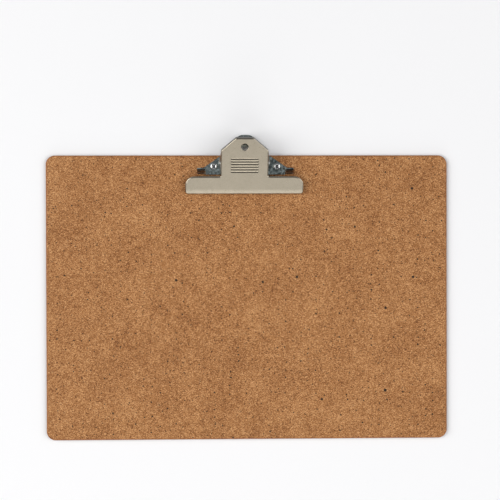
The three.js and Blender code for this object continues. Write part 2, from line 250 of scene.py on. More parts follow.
def sheet(outer, holes, z0, z1, er, lines=(), place=None, steps=3, from_x=0.0):
    """A plate with rounded edges. outer and each hole are (x, y, nx, ny) loops; lines are y values that get their own
    row of vertices where |x| > from_x, so that place, a map of (x, y, z), can bend the sheet there."""
    b = Build()
    outer = cross_at(outer, lines)
    prof = []
    for k in range(steps + 1):
        a = (math.pi / 2) * k / steps
        prof.append((er * (1 - math.sin(a)), z1 - er * (1 - math.cos(a))))
    for k in range(steps + 1):
        a = (math.pi / 2) * (1 - k / steps)
        prof.append((er * (1 - math.sin(a)), z0 + er * (1 - math.cos(a))))

    def loops(pts, sign):
        return [b.ring([(x - sign * d * nx, y - sign * d * ny, z) for x, y, nx, ny in pts]) for d, z in prof]

    outer_r = loops(outer, 1)
    hole_r = [loops(h, -1) for h in holes]
    for k in range(len(prof) - 1):
        b.wall(outer_r[k], outer_r[k + 1])
        for h in hole_r:
            b.wall(h[k], h[k + 1], flip=True)
    # a second, slightly smaller ring keeps the flat face's shading flat
    hold = 0.12

    def cap(index, z, flip):
        o2 = b.ring([(x - (er + hold) * nx, y - (er + hold) * ny, z) for x, y, nx, ny in outer])
        h2 = [b.ring([(x + (er + hold) * nx, y + (er + hold) * ny, z) for x, y, nx, ny in h]) for h in holes]
        b.wall(o2, outer_r[index], flip=flip)
        for h, hr in zip(h2, hole_r):
            b.wall(h, hr[index], flip=not flip)
        at = [b.v[i] for i in o2]
        edges = []
        for v in lines:
            row = sorted((at[i][0], i) for i in range(len(outer)) if abs(outer[i][1] - v) < 1e-6)
            for (xa, ia), (xb, ib) in zip(row, row[1:]):
                mid = np.array([[(xa + xb) / 2, v + 1e-5]])
                if xb - xa > 1e-3 and abs(xa + xb) / 2 >= from_x and inside(np.array([p[:2] for p in at]), mid)[0]:
                    edges.append((ia, ib))
        ids = o2 + [i for h in h2 for i in h]
        tri = fill([p[:2] for p in at], [[b.v[i][:2] for i in h] for h in h2], edges)
        b.faces(tri, ids, flip=flip)

    cap(0, z1, False)
    cap(len(prof) - 1, z0, True)
    if place:
        b.v = [place(*p) for p in b.v]
    return b


def turned(profile, n, close_axis=True):
    """A solid of revolution about Z. profile is (r, z) points; r = 0 ends close on the axis, else it closes on itself."""
    b = Build()
    rings = []
    for r, z in profile:
        if r < 1e-6:
            rings.append(b.ring([(0, 0, z)]))
        else:
            rings.append(b.ring([(r * math.cos(2 * math.pi * k / n), r * math.sin(2 * math.pi * k / n), z) for k in range(n)]))
    pairs = list(zip(rings, rings[1:]))
    if profile[0][0] > 1e-6:
        pairs.append((rings[-1], rings[0]))
    for p, q in pairs:
        for i in range(n):
            j = (i + 1) % n
            if len(p) == 1:
                b.f.append((p[0], q[j], q[i]))
            elif len(q) == 1:
                b.f.append((p[i], p[j], q[0]))
            else:
                b.f.append((p[i], p[j], q[j], q[i]))
    return b


def fillet(points, r, steps=5):
    """Rounds the corners of an open polyline of (x, y) by radius r."""
    out = [points[0]]
    for p, c, q in zip(points, points[1:], points[2:]):
        p, c, q = Vector(p), Vector(c), Vector(q)
        u, v = (p - c), (q - c)
        cut = min(r, u.length * 0.49, v.length * 0.49)
        a, b2 = c + u.normalized() * cut, c + v.normalized() * cut
        for k in range(steps + 1):
            t = k / steps
            out.append(tuple((1 - t) ** 2 * a + 2 * t * (1 - t) * c + t * t * b2))
    out.append(points[-1])
    return out


def smooth_table(table, s):
    """Monotone cubic through (s, d) rows."""
    xs = [r[0] for r in table]
    ys = [r[1] for r in table]
    if s <= xs[0]:
        return ys[0]
    if s >= xs[-1]:
        return ys[-1]
    d = [(ys[k + 1] - ys[k]) / (xs[k + 1] - xs[k]) for k in range(len(xs) - 1)]
    m = [d[0]] + [0 if d[k - 1] * d[k] <= 0 else 2 * d[k - 1] * d[k] / (d[k - 1] + d[k]) for k in range(1, len(d))] + [d[-1]]
    k = max(i for i in range(len(xs) - 1) if xs[i] <= s)
    h = xs[k + 1] - xs[k]
    t = (s - xs[k]) / h
    return (
        (2 * t**3 - 3 * t**2 + 1) * ys[k] + (t**3 - 2 * t**2 + t) * h * m[k]
        + (-2 * t**3 + 3 * t**2) * ys[k + 1] + (t**3 - t**2) * h * m[k + 1]
    )


# ---------------------------------------------------------------- hardboard panel
def make_panel():
    P = PANEL
    b = Build()
    w, h = P["w"] / 2, P["h"] / 2
    pts = outline([(w, -h, P["corner"], 20), (w, h, P["corner"], 20), (-w, h, P["corner"], 20), (-w, -h, P["corner"], 20)], seg=25)
    prof = []
    for k in range(9):
        a = (math.pi / 2) * k / 8
        prof.append((P["round_in"] * (1 - math.sin(a)), P["t"] - P["round_down"] * (1 - math.cos(a))))
    bc = P["back"]
    prof += [(0.0, bc + 0.1), (0.04, bc - 0.1), (0.16, 0.09), (bc, 0.0)]
    rings = [b.ring([(x - d * nx, y - d * ny, z) for x, y, nx, ny in pts]) for d, z in prof]
    for p, q in zip(rings, rings[1:]):
        b.wall(p, q)
    holes = [circle(CLIP_X + s * RIVET_X, RIVET_Y, 2.4, 40) for s in (-1, 1)]
    sinks = [circle(CLIP_X + s * RIVET_X, RIVET_Y, 4.8, 40) for s in (-1, 1)]
    top = [b.ring([(x, y, P["t"]) for x, y, _, _ in h_]) for h_ in holes]
    mid = [b.ring([(x, y, 1.1) for x, y, _, _ in h_]) for h_ in holes]
    sink_top = [b.ring([(x, y, 1.1) for x, y, _, _ in h_]) for h_ in sinks]
    sink_low = [b.ring([(x, y, 0.15) for x, y, _, _ in h_]) for h_ in sinks]
    sink_lip = [b.ring([(x + 0.15 * nx, y + 0.15 * ny, 0.0) for x, y, nx, ny in h_]) for h_ in sinks]
    for t, m, st, sl, lip in zip(top, mid, sink_top, sink_low, sink_lip):
        b.wall(t, m, flip=True)
        b.wall(m, st, flip=True)
        b.wall(st, sl, flip=True)
        b.wall(sl, lip, flip=True)
    hold = 0.3
    for index, z, flip, hs in ((0, P["t"], False, top), (len(prof) - 1, 0.0, True, sink_lip)):
        d = prof[index][0] + hold
        o2 = b.ring([(x - d * nx, y - d * ny, z) for x, y, nx, ny in pts])
        b.wall(o2, rings[index], flip=flip)
        ids = o2 + [i for hh in hs for i in hh]
        tri = fill([b.v[i][:2] for i in o2], [[b.v[i][:2] for i in hh] for hh in hs])
        b.faces(tri, ids, flip=flip)
    return tidy(b.object("hardboard_board"))


# ---------------------------------------------------------------- base plate
def make_base():
    z0 = PANEL["t"] + GAP
    z1 = z0 + SHEET
    tab_y, tab_r, sweep, tab_len = 142.6, 2.2, rad(56), 6.0
    mid_r = tab_r + 0.5
    bend = mid_r * sweep
    far = tab_y - bend - tab_len
    right = [
        (43.9, 136.2, 0.5, 5),
        (43.9, 142.9, 0.16, 3),
        (44.3, 142.9, 0.16, 3),
        (44.3, far, 1.0, 7),
        (53.6, far, 1.6, 9),
        (53.6, 143.8, 1.2, 8),
        (46.2, 143.8, 1.5, 8),
        (27.6, 156.8, 1.4, 8),
        (24.4, 156.8, 0.5, 5),
        (24.4, 142.8, 1.0, 6),
        (12.0, 142.8, 1.0, 6),
        (11.99, 180.198, 9.5, 24),
    ]
    out = outline(mirrored(right))
    lines = [tab_y - bend * k / 10 for k in range(0, 11)]
    holes = [circle(s * RIVET_X, RIVET_Y, 2.4, 40) for s in (-1, 1)] + [circle(0, 159.8, 7.2, 80)]

    def place(x, y, z):
        if abs(x) > 44.1 and y < tab_y:
            v = tab_y - y
            w = z - z0
            r = tab_r + (1 - w)
            a = min(v / mid_r, sweep)
            rest = max(0.0, v - bend)
            return (x, tab_y - r * math.sin(a) - rest * math.cos(sweep), z1 + tab_r - r * math.cos(a) + rest * math.sin(sweep))
        return (x, y, z)

    b = sheet(out, holes, z0, z1, 0.16, lines, place, from_x=44.1)
    base = tidy(b.object("base_plate_pressing"))

    # ears, bent up from the windows' outer sides: drawn flat as (u along the ear, y)
    turn_r = 1.8
    arc_l = (turn_r - 0.5) * math.pi / 2
    centre = arc_l + PIVOT_Z - (z0 + turn_r)
    flare = arc_l + (z0 + 3.2) - (z0 + turn_r)
    tops = [
        (PIVOT_Y + 4.2 * math.cos(rad(t)), centre + 4.2 * math.sin(rad(t)))
        for t in np.linspace(-8, 188, 34)
    ]
    loop = [(143.0, -0.6), (156.0, -0.6), (156.0, flare)] + tops + [(143.0, flare)]
    # outward normals of the closed loop, from its neighbours
    pts = []
    n = len(loop)
    for i, (y, u) in enumerate(loop):
        (ya, ua), (yb, ub) = loop[i - 1], loop[(i + 1) % n]
        e1 = Vector((y - ya, u - ua)).normalized()
        e2 = Vector((yb - y, ub - u)).normalized()
        n1, n2 = Vector((e1.y, -e1.x)), Vector((e2.y, -e2.x))
        m = n1 + n2
        m = m / (1 + n1.dot(n2))
        pts.append((y, u, m.x, m.y))
    hole = [(y, u, nx, ny) for y, u, nx, ny in circle(PIVOT_Y, centre, PIN_HOLE, 40)]
    bends = [arc_l * k / 8 for k in range(9)]
    for side in (1, -1):
        def up(y, u, z, side=side):
            w = z
            if u <= 0:
                return (side * (24.4 - u), y, z0 + w)
            a = min(u / (turn_r - 0.5), math.pi / 2)
            r = turn_r - w
            rest = max(0.0, u - arc_l)
            return (side * (24.4 - r * math.sin(a)), y, z0 + turn_r - r * math.cos(a) + rest)

        ear = sheet(pts, [hole], 0.0, SHEET, 0.14, bends, up).object("ear")
        tidy(ear)
        boolean(base, ear, "UNION")
    base.data.transform(Matrix.Translation((CLIP_X * 0.001, 0, 0)))
    return tidy(base)


# ---------------------------------------------------------------- lever
FLANGE = [
    (20.7, 2.6), (22.2, 3.0), (24.5, 5.4), (27.5, 10.2), (30.5, 12.9), (33.0, 13.8), (36.0, 13.9), (38.8, 12.8),
    (41.0, 10.8), (44.0, 8.7), (47.5, 7.0), (50.8, 5.7), (65.5, 5.1),
]
RIBS = [26.1 + 3.06 * k for k in range(6)]


def rib_depth(x, s):
    """Depth of the pressed-in ribs: a groove with round ends, steep towards the jaw and easier towards the top."""
    half, low, high, deep = 15.4 - 0.85, 0.62, 1.5, 0.5
    for c in RIBS:
        t = s - (c - 0.2)
        if -low < t < high:
            d = t / (low if t < 0 else high)
            e = max(0.0, abs(x) - half) / 0.9
            r = math.hypot(d, e)
            if r < 1:
                return deep * (1 - r * r * (3 - 2 * r)) if t < 0 else deep * (1 - r) * (1 - r * r * 0.15) * (1 if e == 0 else 1)
    return 0.0


def make_lever():
    b = Build()
    bend, inner, lean = 1.3, 0.3, 0.19
    lip, slope, soft = 5.2, math.tan(rad(12)), 1.3
    rows = [lip + soft * t for t in (-1, -0.8, -0.6, -0.4, -0.2, 0, 0.2, 0.4, 0.6, 0.8, 1)]
    right = [
        (65.4, 0, 3.0, 10),
        (65.4, 20.7, 10.4, 24),
        (26.1, 20.7, 1.4, 10),
        (26.1, 50.8, 2.2, 8),
        (9.6, 65.45, 2.2, 8),
    ]
    side = list(np.arange(22.6, 49.4, 0.45))
    pts = outline(
        mirrored(right),
        {
            0: [(65.4, r) for r in rows] + [(65.4, 8.4)],
            2: [(26.1, s) for s in side],
            6: [(-26.1, s) for s in reversed(side)],
            8: [(-65.4, 8.4)] + [(-65.4, r) for r in reversed(rows)],
            9: [(x, 0) for x in np.linspace(-58, 58, 30)],
        },
        seg=4,
    )

    def deep(p):
        if abs(p[0]) > 26.6 or p[1] <= 20.7:
            return 2.6
        return smooth_table(FLANGE, p[1])

    def drop(y):
        t = lip - y
        if t <= -soft:
            return 0.0
        if t < soft:
            return slope * (t + soft) ** 2 / (4 * soft)
        return slope * t

    def ring(inset, height):
        out = []
        for p in pts:
            D = deep(p)
            d = inset(D)
            y = p[1] - d * p[3]
            out.append((p[0] - d * p[2], y, height(D) - drop(max(0.0, y))))
        return b.ring(out)

    def flare(D):
        return max(0.0, D - 6.0) * lean

    rings = []
    hold = 0.18
    rings.append(ring(lambda D: bend + hold, lambda D: 0.0))
    for k in range(9):
        a = (math.pi / 2) * k / 8
        rings.append(ring(lambda D, a=a: bend * (1 - math.sin(a)), lambda D, a=a: -bend * (1 - math.cos(a))))
    for t in (0.33, 0.66):
        rings.append(ring(lambda D, t=t: -flare(D) * t, lambda D, t=t: -bend + (bend + 0.2 - D) * t))
    er = 0.2
    for a in (0, 30, 60, 90):
        rings.append(ring(
            lambda D, a=a: er * (1 - math.cos(rad(a))) - flare(D),
            lambda D, a=a: -D + er * (1 - math.sin(rad(a))),
        ))
    for a in (90, 60, 30, 0):
        rings.append(ring(
            lambda D, a=a: SHEET - er * (1 - math.cos(rad(a))) - flare(D),
            lambda D, a=a: -D + er * (1 - math.sin(rad(a))),
        ))
    for t in (0.66, 0.33):
        rings.append(ring(lambda D, t=t: SHEET - flare(D) * t, lambda D, t=t: -bend + (bend + 0.2 - D) * t))
    for k in range(6, -1, -1):
        a = (math.pi / 2) * k / 6
        rings.append(ring(lambda D, a=a: bend - inner * math.sin(a), lambda D, a=a: -bend + inner * math.cos(a)))
    rings.append(ring(lambda D: bend + hold, lambda D: -SHEET))
    for p, q in zip(rings, rings[1:]):
        b.wall(p, q)

    # hang hole: rounded mouth, short collar, and a fillet to the underside
    hy, n = 55.2, 72
    prof = [(4.75, 0.0), (4.6, 0.0)]
    prof += [(4.0 + 0.6 * (1 - math.sin(rad(a))), -0.6 * (1 - math.cos(rad(a)))) for a in (15, 30, 45, 60, 75, 90)]
    prof += [(4.0, -2.05), (4.05, -2.16), (4.16, -2.2), (4.62, -2.2), (4.74, -2.16), (4.8, -2.05), (4.8, -1.45)]
    prof += [(4.8 + 0.45 * (1 - math.cos(rad(a))), -1.45 + 0.45 * math.sin(rad(a))) for a in (30, 60, 90)]
    prof += [(5.4, -1.0)]
    hole = [b.ring([(x, y, z) for x, y, _, _ in circle(0, hy, r, n)]) for r, z in prof]
    for p, q in zip(hole, hole[1:]):
        b.wall(p, q, flip=True)

    # the ribbed patch, a fine grid pressed up on both faces
    xs = sorted(set([round(v, 4) for v in list(np.arange(-16.0, -13.2, 0.16)) + list(np.arange(13.36, 16.1, 0.16)) + list(np.linspace(-13.2, 13.2, 14))]))
    ys = [24.7 + (43.0 - 24.7) * k / 122 for k in range(123)]
    grid = {}
    for level in (0, 1):
        for i, x in enumerate(xs):
            for j, y in enumerate(ys):
                grid[level, i, j] = len(b.v)
                b.v.append((x, y, -rib_depth(x, y) - SHEET * level))
        for i in range(len(xs) - 1):
            for j in range(len(ys) - 1):
                q = (grid[level, i, j], grid[level, i + 1, j], grid[level, i + 1, j + 1], grid[level, i, j + 1])
                b.f.append(q if level == 0 else q[::-1])
    nx, ny = len(xs), len(ys)
    border = [(i, 0) for i in range(nx)] + [(nx - 1, j) for j in range(1, ny)]
    border += [(i, ny - 1) for i in range(nx - 2, -1, -1)] + [(0, j) for j in range(ny - 2, 0, -1)]

    for level, outer, hr, flip in ((0, rings[0], hole[0], False), (1, rings[-1], hole[-1], True)):
        patch = [grid[level, i, j] for i, j in border]
        edges = []
        for r in rows:
            row = sorted((b.v[outer[i]][0], i) for i in range(len(pts)) if abs(pts[i][1] - r) < 1e-6)
            edges.append((row[0][1], row[-1][1]))
        ids = outer + hr + patch
        tri = fill([b.v[i][:2] for i in outer], [[b.v[i][:2] for i in hr], [b.v[i][:2] for i in patch]], edges)
        b.faces(tri, ids, flip=flip)

    ob = b.object("lever_pressing", scale=1.0)
    tidy(ob, merge=1e-4)
    py = (PIVOT_Y - LY) * math.cos(TILT) + (PIVOT_Z - LZ) * math.sin(TILT)
    pz = -(PIVOT_Y - LY) * math.sin(TILT) + (PIVOT_Z - LZ) * math.cos(TILT)
    for s in (-1, 1):
        prof = [(0, -4.0), (PIN_HOLE, -4.0), (PIN_HOLE, 4.0), (0, 4.0)]
        cutter = turned(prof, 48).object("cutter", scale=1.0)
        bm = bmesh.new()
        bm.from_mesh(cutter.data)
        bmesh.ops.recalc_face_normals(bm, faces=bm.faces)
        bm.to_mesh(cutter.data)
        bm.free()
        cutter.data.transform(Matrix.Translation((s * 26.1, py, pz)) @ Matrix.Rotation(math.pi / 2, 4, "Y"))
        boolean(ob, cutter, "DIFFERENCE")
    m = Matrix.Scale(0.001, 4) @ Matrix.Translation((CLIP_X + LX, LY, LZ)) @ Matrix.Rotation(TILT, 4, "X")
    ob.data.transform(m)
    return tidy(ob)


# ---------------------------------------------------------------- pin, spring, rivets
def make_pin():
    a, t, hr, r = 27.5, 0.7, 2.8, 1.9
    head = [(0, a + t), (0.9, a + t - 0.02), (1.6, a + t - 0.1), (2.15, a + t - 0.24), (2.6, a + t - 0.42), (hr, a + 0.15), (hr - 0.05, a + 0.03), (hr - 0.2, a)]
    prof = head + [(r + 0.1, a), (r, a - 0.1), (r, -a + 0.1), (r + 0.1, -a)] + [(q, -z) for q, z in reversed(head)]
    ob = turned(prof, 48).object("pin_turned")
    ob.data.transform(
        Matrix.Translation(((CLIP_X + LX) * 0.001, PIVOT_Y * 0.001, PIVOT_Z * 0.001)) @ Matrix.Rotation(math.pi / 2, 4, "Y")
    )
    return tidy(ob)


def make_rivet(side):
    top = PANEL["t"] + GAP + SHEET + GAP
    prof = fillet(
        [(3.0, 0.2), (4.2, 0.2), (4.4, 0.45), (4.4, 0.75), (4.15, 0.95), (2.2, 0.95), (2.2, top), (3.2, top), (3.6, top + 0.12)], 0.15, 4
    )
    # rolled rim: a nearly round bead that turns down into the bore
    cx, cz, rr, rz = 2.56, top + 0.42, 1.06, 0.76
    prof += [(cx + rr * math.cos(rad(t)), cz + rz * math.sin(rad(t))) for t in range(-8, 185, 9)]
    prof += [(1.5, top - 0.1), (1.5, 0.75), (1.56, 0.5), (1.75, 0.28), (2.0, 0.2)]
    ob = turned(prof, 64).object("eyelet_" + ("left" if side < 0 else "right"))
    ob.data.transform(Matrix.Translation(((CLIP_X + side * RIVET_X) * 0.001, RIVET_Y * 0.001, 0)))
    return tidy(ob)


def make_spring():
    wire, R, half, coils = 0.9, 4.6, 9.5, 9
    low, top = rad(9.3), rad(27.4)
    a0 = -math.pi / 2 - low
    a1 = math.pi / 2 + top - 2 * math.pi * (coils + 1)
    steps = 430

    def at(a, x):
        return Vector((x, R * math.cos(a), R * math.sin(a)))

    inn, outt = Vector((0, math.cos(low), -math.sin(low))), Vector((0, math.cos(top), math.sin(top)))
    path = [at(a0, -half) + inn * (15.5 * k / 12) for k in range(12, 0, -1)]
    path += [at(a0 + (a1 - a0) * k / steps, -half + 2 * half * k / steps) for k in range(steps + 1)]
    path += [at(a1, half) + outt * (13.0 * k / 12) for k in range(1, 13)]
    b = Build()
    n = 20
    rings = []
    for i, p in enumerate(path):
        t = (path[min(i + 1, len(path) - 1)] - path[max(i - 1, 0)]).normalized()
        u = (Vector((1, 0, 0)) - t * t.x).normalized()
        v = t.cross(u)
        size = [wire]
        if i in (0, len(path) - 1):
            size = [0.55 * wire, 0.86 * wire, wire]
        offs = [0.0] if len(size) == 1 else [0.0, 0.12, 0.35]
        sign = 1 if i == 0 else -1
        items = list(zip(size, offs))
        if i == len(path) - 1:
            items = items[::-1]
        for s, o in items:
            c = p + t * o * sign
            rings.append(b.ring([tuple(c + u * s * math.cos(2 * math.pi * k / n) + v * s * math.sin(2 * math.pi * k / n)) for k in range(n)]))
    for p, q in zip(rings, rings[1:]):
        b.wall(p, q)
    b.f.append(tuple(rings[0]))
    b.f.append(tuple(reversed(rings[-1])))
    ob = b.object("spring_coil")
    ob.data.transform(Matrix.Translation((CLIP_X * 0.001, PIVOT_Y * 0.001, PIVOT_Z * 0.001)))
    return tidy(ob)


# ---------------------------------------------------------------- materials
class Nodes:
    def __init__(self, name):
        self.m = bpy.data.materials.new(name)
        self.m.use_nodes = True
        self.t = self.m.node_tree
        self.t.nodes.clear()
        self.out = self.t.nodes.new("ShaderNodeOutputMaterial")
        self.b = self.t.nodes.new("ShaderNodeBsdfPrincipled")
        self.link(self.b.outputs["BSDF"], self.out.inputs["Surface"])

    def node(self, kind, inputs=None, **props):
        n = self.t.nodes.new(kind)
        for k, v in props.items():
            setattr(n, k, v)
        for k, v in (inputs or {}).items():
            if hasattr(v, "is_output"):
                self.link(v, n.inputs[k])
            else:
                n.inputs[k].default_value = v
        return n

    def link(self, a, b):
        self.t.links.new(a, b)

    def coords(self, scale=(1000, 1000, 1000), rotation=(0, 0, 0), location=(0, 0, 0)):
        c = self.node("ShaderNodeTexCoord").outputs["Object"]
        return self.node("ShaderNodeMapping", {"Vector": c, "Scale": scale, "Rotation": rotation, "Location": location}).outputs["Vector"]

    def noise(self, vector, scale, detail=2.0, rough=0.5, distortion=0.0):
        return self.node(
            "ShaderNodeTexNoise",
            {"Vector": vector, "Scale": scale, "Detail": detail, "Roughness": rough, "Distortion": distortion},
            noise_dimensions="3D",
        ).outputs["Fac"]

    def ramp(self, value, stops, interpolation="LINEAR"):
        n = self.node("ShaderNodeValToRGB", {"Fac": value})
        n.color_ramp.interpolation = interpolation
        el = n.color_ramp.elements
        while len(el) < len(stops):
            el.new(0.5)
        for e, (p, c) in zip(el, stops):
            e.position = p
            e.color = c if len(c) == 4 else (*c, 1)
        return n.outputs["Color"]

    def math(self, op, a, b=None, clamp=False):
        n = self.node("ShaderNodeMath", operation=op, use_clamp=clamp)
        for i, v in enumerate((a, b)):
            if v is None:
                continue
            if hasattr(v, "is_output"):
                self.link(v, n.inputs[i])
            else:
                n.inputs[i].default_value = v
        return n.outputs[0]

    def span(self, value, a, b, c=0.0, d=1.0, smooth=False):
        n = self.node("ShaderNodeMapRange", {"Value": value, "From Min": a, "From Max": b, "To Min": c, "To Max": d})
        n.interpolation_type = "SMOOTHSTEP" if smooth else "LINEAR"
        return n.outputs["Result"]

    def mix(self, fac, a, b, blend="MIX"):
        n = self.node("ShaderNodeMix", data_type="RGBA", blend_type=blend)
        for key, v in ((0, fac), (6, a), (7, b)):
            if hasattr(v, "is_output"):
                self.link(v, n.inputs[key])
            else:
                n.inputs[key].default_value = v if key == 0 else (v if len(v) == 4 else (*v, 1))
        return n.outputs[2]

    def bump(self, height, distance, strength=1.0, normal=None):
        inputs = {"Height": height, "Distance": distance, "Strength": strength}
        n = self.node("ShaderNodeBump", inputs)
        if normal is not None:
            self.link(normal, n.inputs["Normal"])
        return n.outputs["Normal"]


def lin(r, g, b):
    f = lambda c: (c / 255) / 12.92 if c <= 10 else ((c / 255 + 0.055) / 1.055) ** 2.4
    return (f(r), f(g), f(b))


def hardboard():
    n = Nodes("hardboard_brown")
    p = n.coords()
    # fibres: three sets of short strands lying in different directions
    strands = None
    for k, (angle, wide) in enumerate(((0.25, 0.5), (1.35, 0.45), (2.3, 0.55))):
        v = n.coords(scale=(1000 / 1.7, 1000 / wide, 1000 / 0.6), rotation=(0, 0, angle), location=(13.7 * k, 5.1 * k, 0))
        s = n.noise(v, 1.0, 2.0, 0.6, 0.4)
        strands = s if strands is None else n.math("ADD", strands, s)
    strands = n.math("MULTIPLY", strands, 1 / 3)
    grain = n.noise(p, 1.45, 3.0, 0.65)
    mottle = n.noise(p, 0.16, 3.0, 0.55)
    cloud = n.noise(p, 0.02, 2.0, 0.5)
    tone = n.math("ADD", n.math("MULTIPLY", strands, 2.3), n.math("MULTIPLY", grain, 1.7))
    tone = n.math("ADD", tone, n.math("MULTIPLY", mottle, 0.27))
    tone = n.math("ADD", tone, n.math("MULTIPLY", cloud, 0.22))
    tone = n.span(tone, 1.93, 2.53)
    colour = n.ramp(
        tone,
        [
            (0.0, lin(84, 40, 9)),
            (0.3, lin(140, 87, 42)),
            (0.5, lin(165, 110, 61)),
            (0.75, lin(189, 132, 79)),
            (1.0, lin(220, 171, 119)),
        ],
    )
    # bark flecks: sparse, irregular, from black-brown to rust
    wob = n.node("ShaderNodeVectorMath", {0: p}, operation="ADD")
    wn = n.node("ShaderNodeTexNoise", {"Vector": p, "Scale": 0.7, "Detail": 2.0})
    ws = n.node("ShaderNodeVectorMath", {0: wn.outputs["Color"], "Scale": 1.1}, operation="SCALE")
    n.link(ws.outputs[0], wob.inputs[1])
    for scale, size, dark, share, shift in (
        (0.03, 0.042, lin(18, 12, 9), 0.82, (11, 3, 0)),
        (0.115, 0.088, lin(14, 8, 5), 0.74, (0, 0, 0)),
        (0.24, 0.12, lin(30, 15, 7), 0.72, (31, 17, 0)),
        (0.42, 0.15, lin(96, 50, 22), 0.74, (7, 57, 0)),
    ):
        sh = n.node("ShaderNodeVectorMath", {0: wob.outputs[0], 1: shift}, operation="ADD").outputs[0]
        flat = n.node("ShaderNodeVectorMath", {0: sh, 1: (1, 1, 0.0)}, operation="MULTIPLY").outputs[0]
        cell = n.node("ShaderNodeTexVoronoi", {"Vector": flat, "Scale": scale, "Randomness": 1.0}, feature="F1", voronoi_dimensions="2D")
        pick = n.node("ShaderNodeSeparateColor", {"Color": cell.outputs["Color"]})
        chosen = n.math("GREATER_THAN", pick.outputs[0], share)
        radius = n.span(pick.outputs[1], 0, 1, size * 0.45, size * 1.25)
        soft = 0.07 * scale
        mask = n.math("MULTIPLY", n.span(n.math("SUBTRACT", cell.outputs["Distance"], radius), soft, -soft, 0, 1), chosen)
        colour = n.mix(n.math("MULTIPLY", mask, 0.95), colour, dark)
    # the eased edge and the cut sides are darker and redder: distance to the rounded outline, in mm
    split = n.node("ShaderNodeSeparateXYZ", {"Vector": p})
    corner = 10.0
    qx = n.math("SUBTRACT", n.math("ABSOLUTE", split.outputs[0]), 222.5 - corner)
    qy = n.math("SUBTRACT", n.math("ABSOLUTE", split.outputs[1]), 157.5 - corner)
    outside = n.math("POWER", n.math("ADD", n.math("POWER", n.math("MAXIMUM", qx, 0), 2), n.math("POWER", n.math("MAXIMUM", qy, 0), 2)), 0.5)
    edge = n.math("SUBTRACT", n.math("ADD", outside, n.math("MINIMUM", n.math("MAXIMUM", qx, qy), 0)), corner)
    wavy = n.math("ADD", edge, n.span(n.noise(p, 0.5, 2.0), 0, 1, -0.35, 0.35))
    band = n.span(wavy, -1.9, -0.9, 0, 1, smooth=True)
    colour = n.mix(n.math("MULTIPLY", band, 0.62), colour, n.mix(tone, lin(112, 62, 26), lin(170, 104, 52)))
    side = n.span(split.outputs[2], 1.9, 1.2, 0, 1, smooth=True)
    side = n.math("MULTIPLY", side, n.span(edge, -0.6, -0.1, 0, 1))
    layers = n.noise(n.coords(scale=(350, 350, 5200)), 1.0, 3.0, 0.6)
    colour = n.mix(n.math("MULTIPLY", side, 0.8), colour, n.ramp(layers, [(0.3, lin(74, 42, 22)), (0.7, lin(132, 84, 48))]))
    # the back carries the print of the wire screen that it was pressed on
    back = n.math("MULTIPLY", n.span(split.outputs[2], 0.25, 0.05, 0, 1), n.span(edge, -0.5, -1.0, 0, 1))
    wires = []
    for axis in (0, 1):
        w = n.math("SINE", n.math("MULTIPLY", n.math("ADD", split.outputs[axis], n.span(n.noise(p, 0.3, 1.0), 0, 1, -0.3, 0.3)), 2 * math.pi / 1.5))
        wires.append(n.math("ABSOLUTE", w))
    mesh = n.math("MULTIPLY", n.math("MAXIMUM", wires[0], wires[1]), back)
    colour = n.mix(n.math("MULTIPLY", back, n.span(mesh, 0.5, 1.0, 0.55, 0.1)), colour, lin(96, 58, 32))
    n.link(colour, n.b.inputs["Base Color"])
    rough = n.span(grain, 0.3, 0.7, 0.5, 0.66)
    rough = n.math("ADD", rough, n.math("MULTIPLY", n.math("MAXIMUM", side, back), 0.2))
    n.link(rough, n.b.inputs["Roughness"])
    height = n.math("ADD", n.math("MULTIPLY", strands, 0.6), n.math("MULTIPLY", grain, 0.4))
    bump = n.bump(height, 0.00009, 0.8)
    bump = n.bump(mesh, 0.00028, 0.9, bump)
    bump = n.bump(n.math("MULTIPLY", layers, side), 0.0003, 0.8, bump)
    n.link(bump, n.b.inputs["Normal"])
    n.b.inputs["Specular IOR Level"].default_value = 0.35
    return n.m


def metal(name, colour, tint, rough, grain_mm=0.35, spread=0.05, mottle=0.5, bump=0.000012, brushed=None, tarnish=None, marks_and_painted_light=None):
    """Plated steel: a tint that drifts over a few mm, fine grain in the roughness, and a faint unevenness."""
    n = Nodes(name)
    p = n.coords()
    drift = n.noise(p, 0.12, 3.0, 0.6)
    spots = n.noise(p, mottle, 3.0, 0.6)
    fine = n.noise(p, 1 / grain_mm, 3.0, 0.7)
    c = n.mix(n.span(n.math("ADD", n.math("MULTIPLY", drift, 0.55), n.math("MULTIPLY", spots, 0.45)), 0.36, 0.64), colour, tint)
    if tarnish:
        c = n.mix(n.span(n.noise(p, 0.7, 4.0, 0.65), 0.56, 0.72, 0, tarnish[1]), c, tarnish[0])
    # extra colour: real plating blotches together with painted shade, painted light and painted reflections
    if marks_and_painted_light:
        c = marks_and_painted_light(n, p, c)
    n.link(c, n.b.inputs["Base Color"])
    n.b.inputs["Metallic"].default_value = 1.0
    r = n.span(fine, 0.25, 0.75, rough - spread, rough + spread)
    r = n.math("ADD", r, n.span(spots, 0.3, 0.7, -spread * 0.7, spread * 0.7))
    height = n.math("ADD", n.math("MULTIPLY", fine, 0.5), n.math("MULTIPLY", spots, 0.8))
    if brushed:
        v = n.coords(scale=brushed)
        lines = n.noise(v, 1.0, 3.0, 0.7)
        r = n.math("ADD", r, n.span(lines, 0.3, 0.7, -spread * 0.6, spread * 0.6))
        height = n.math("ADD", height, n.math("MULTIPLY", lines, 0.6))
    n.link(r, n.b.inputs["Roughness"])
    n.link(n.bump(height, bump, 1.0), n.b.inputs["Normal"])
    return n.m


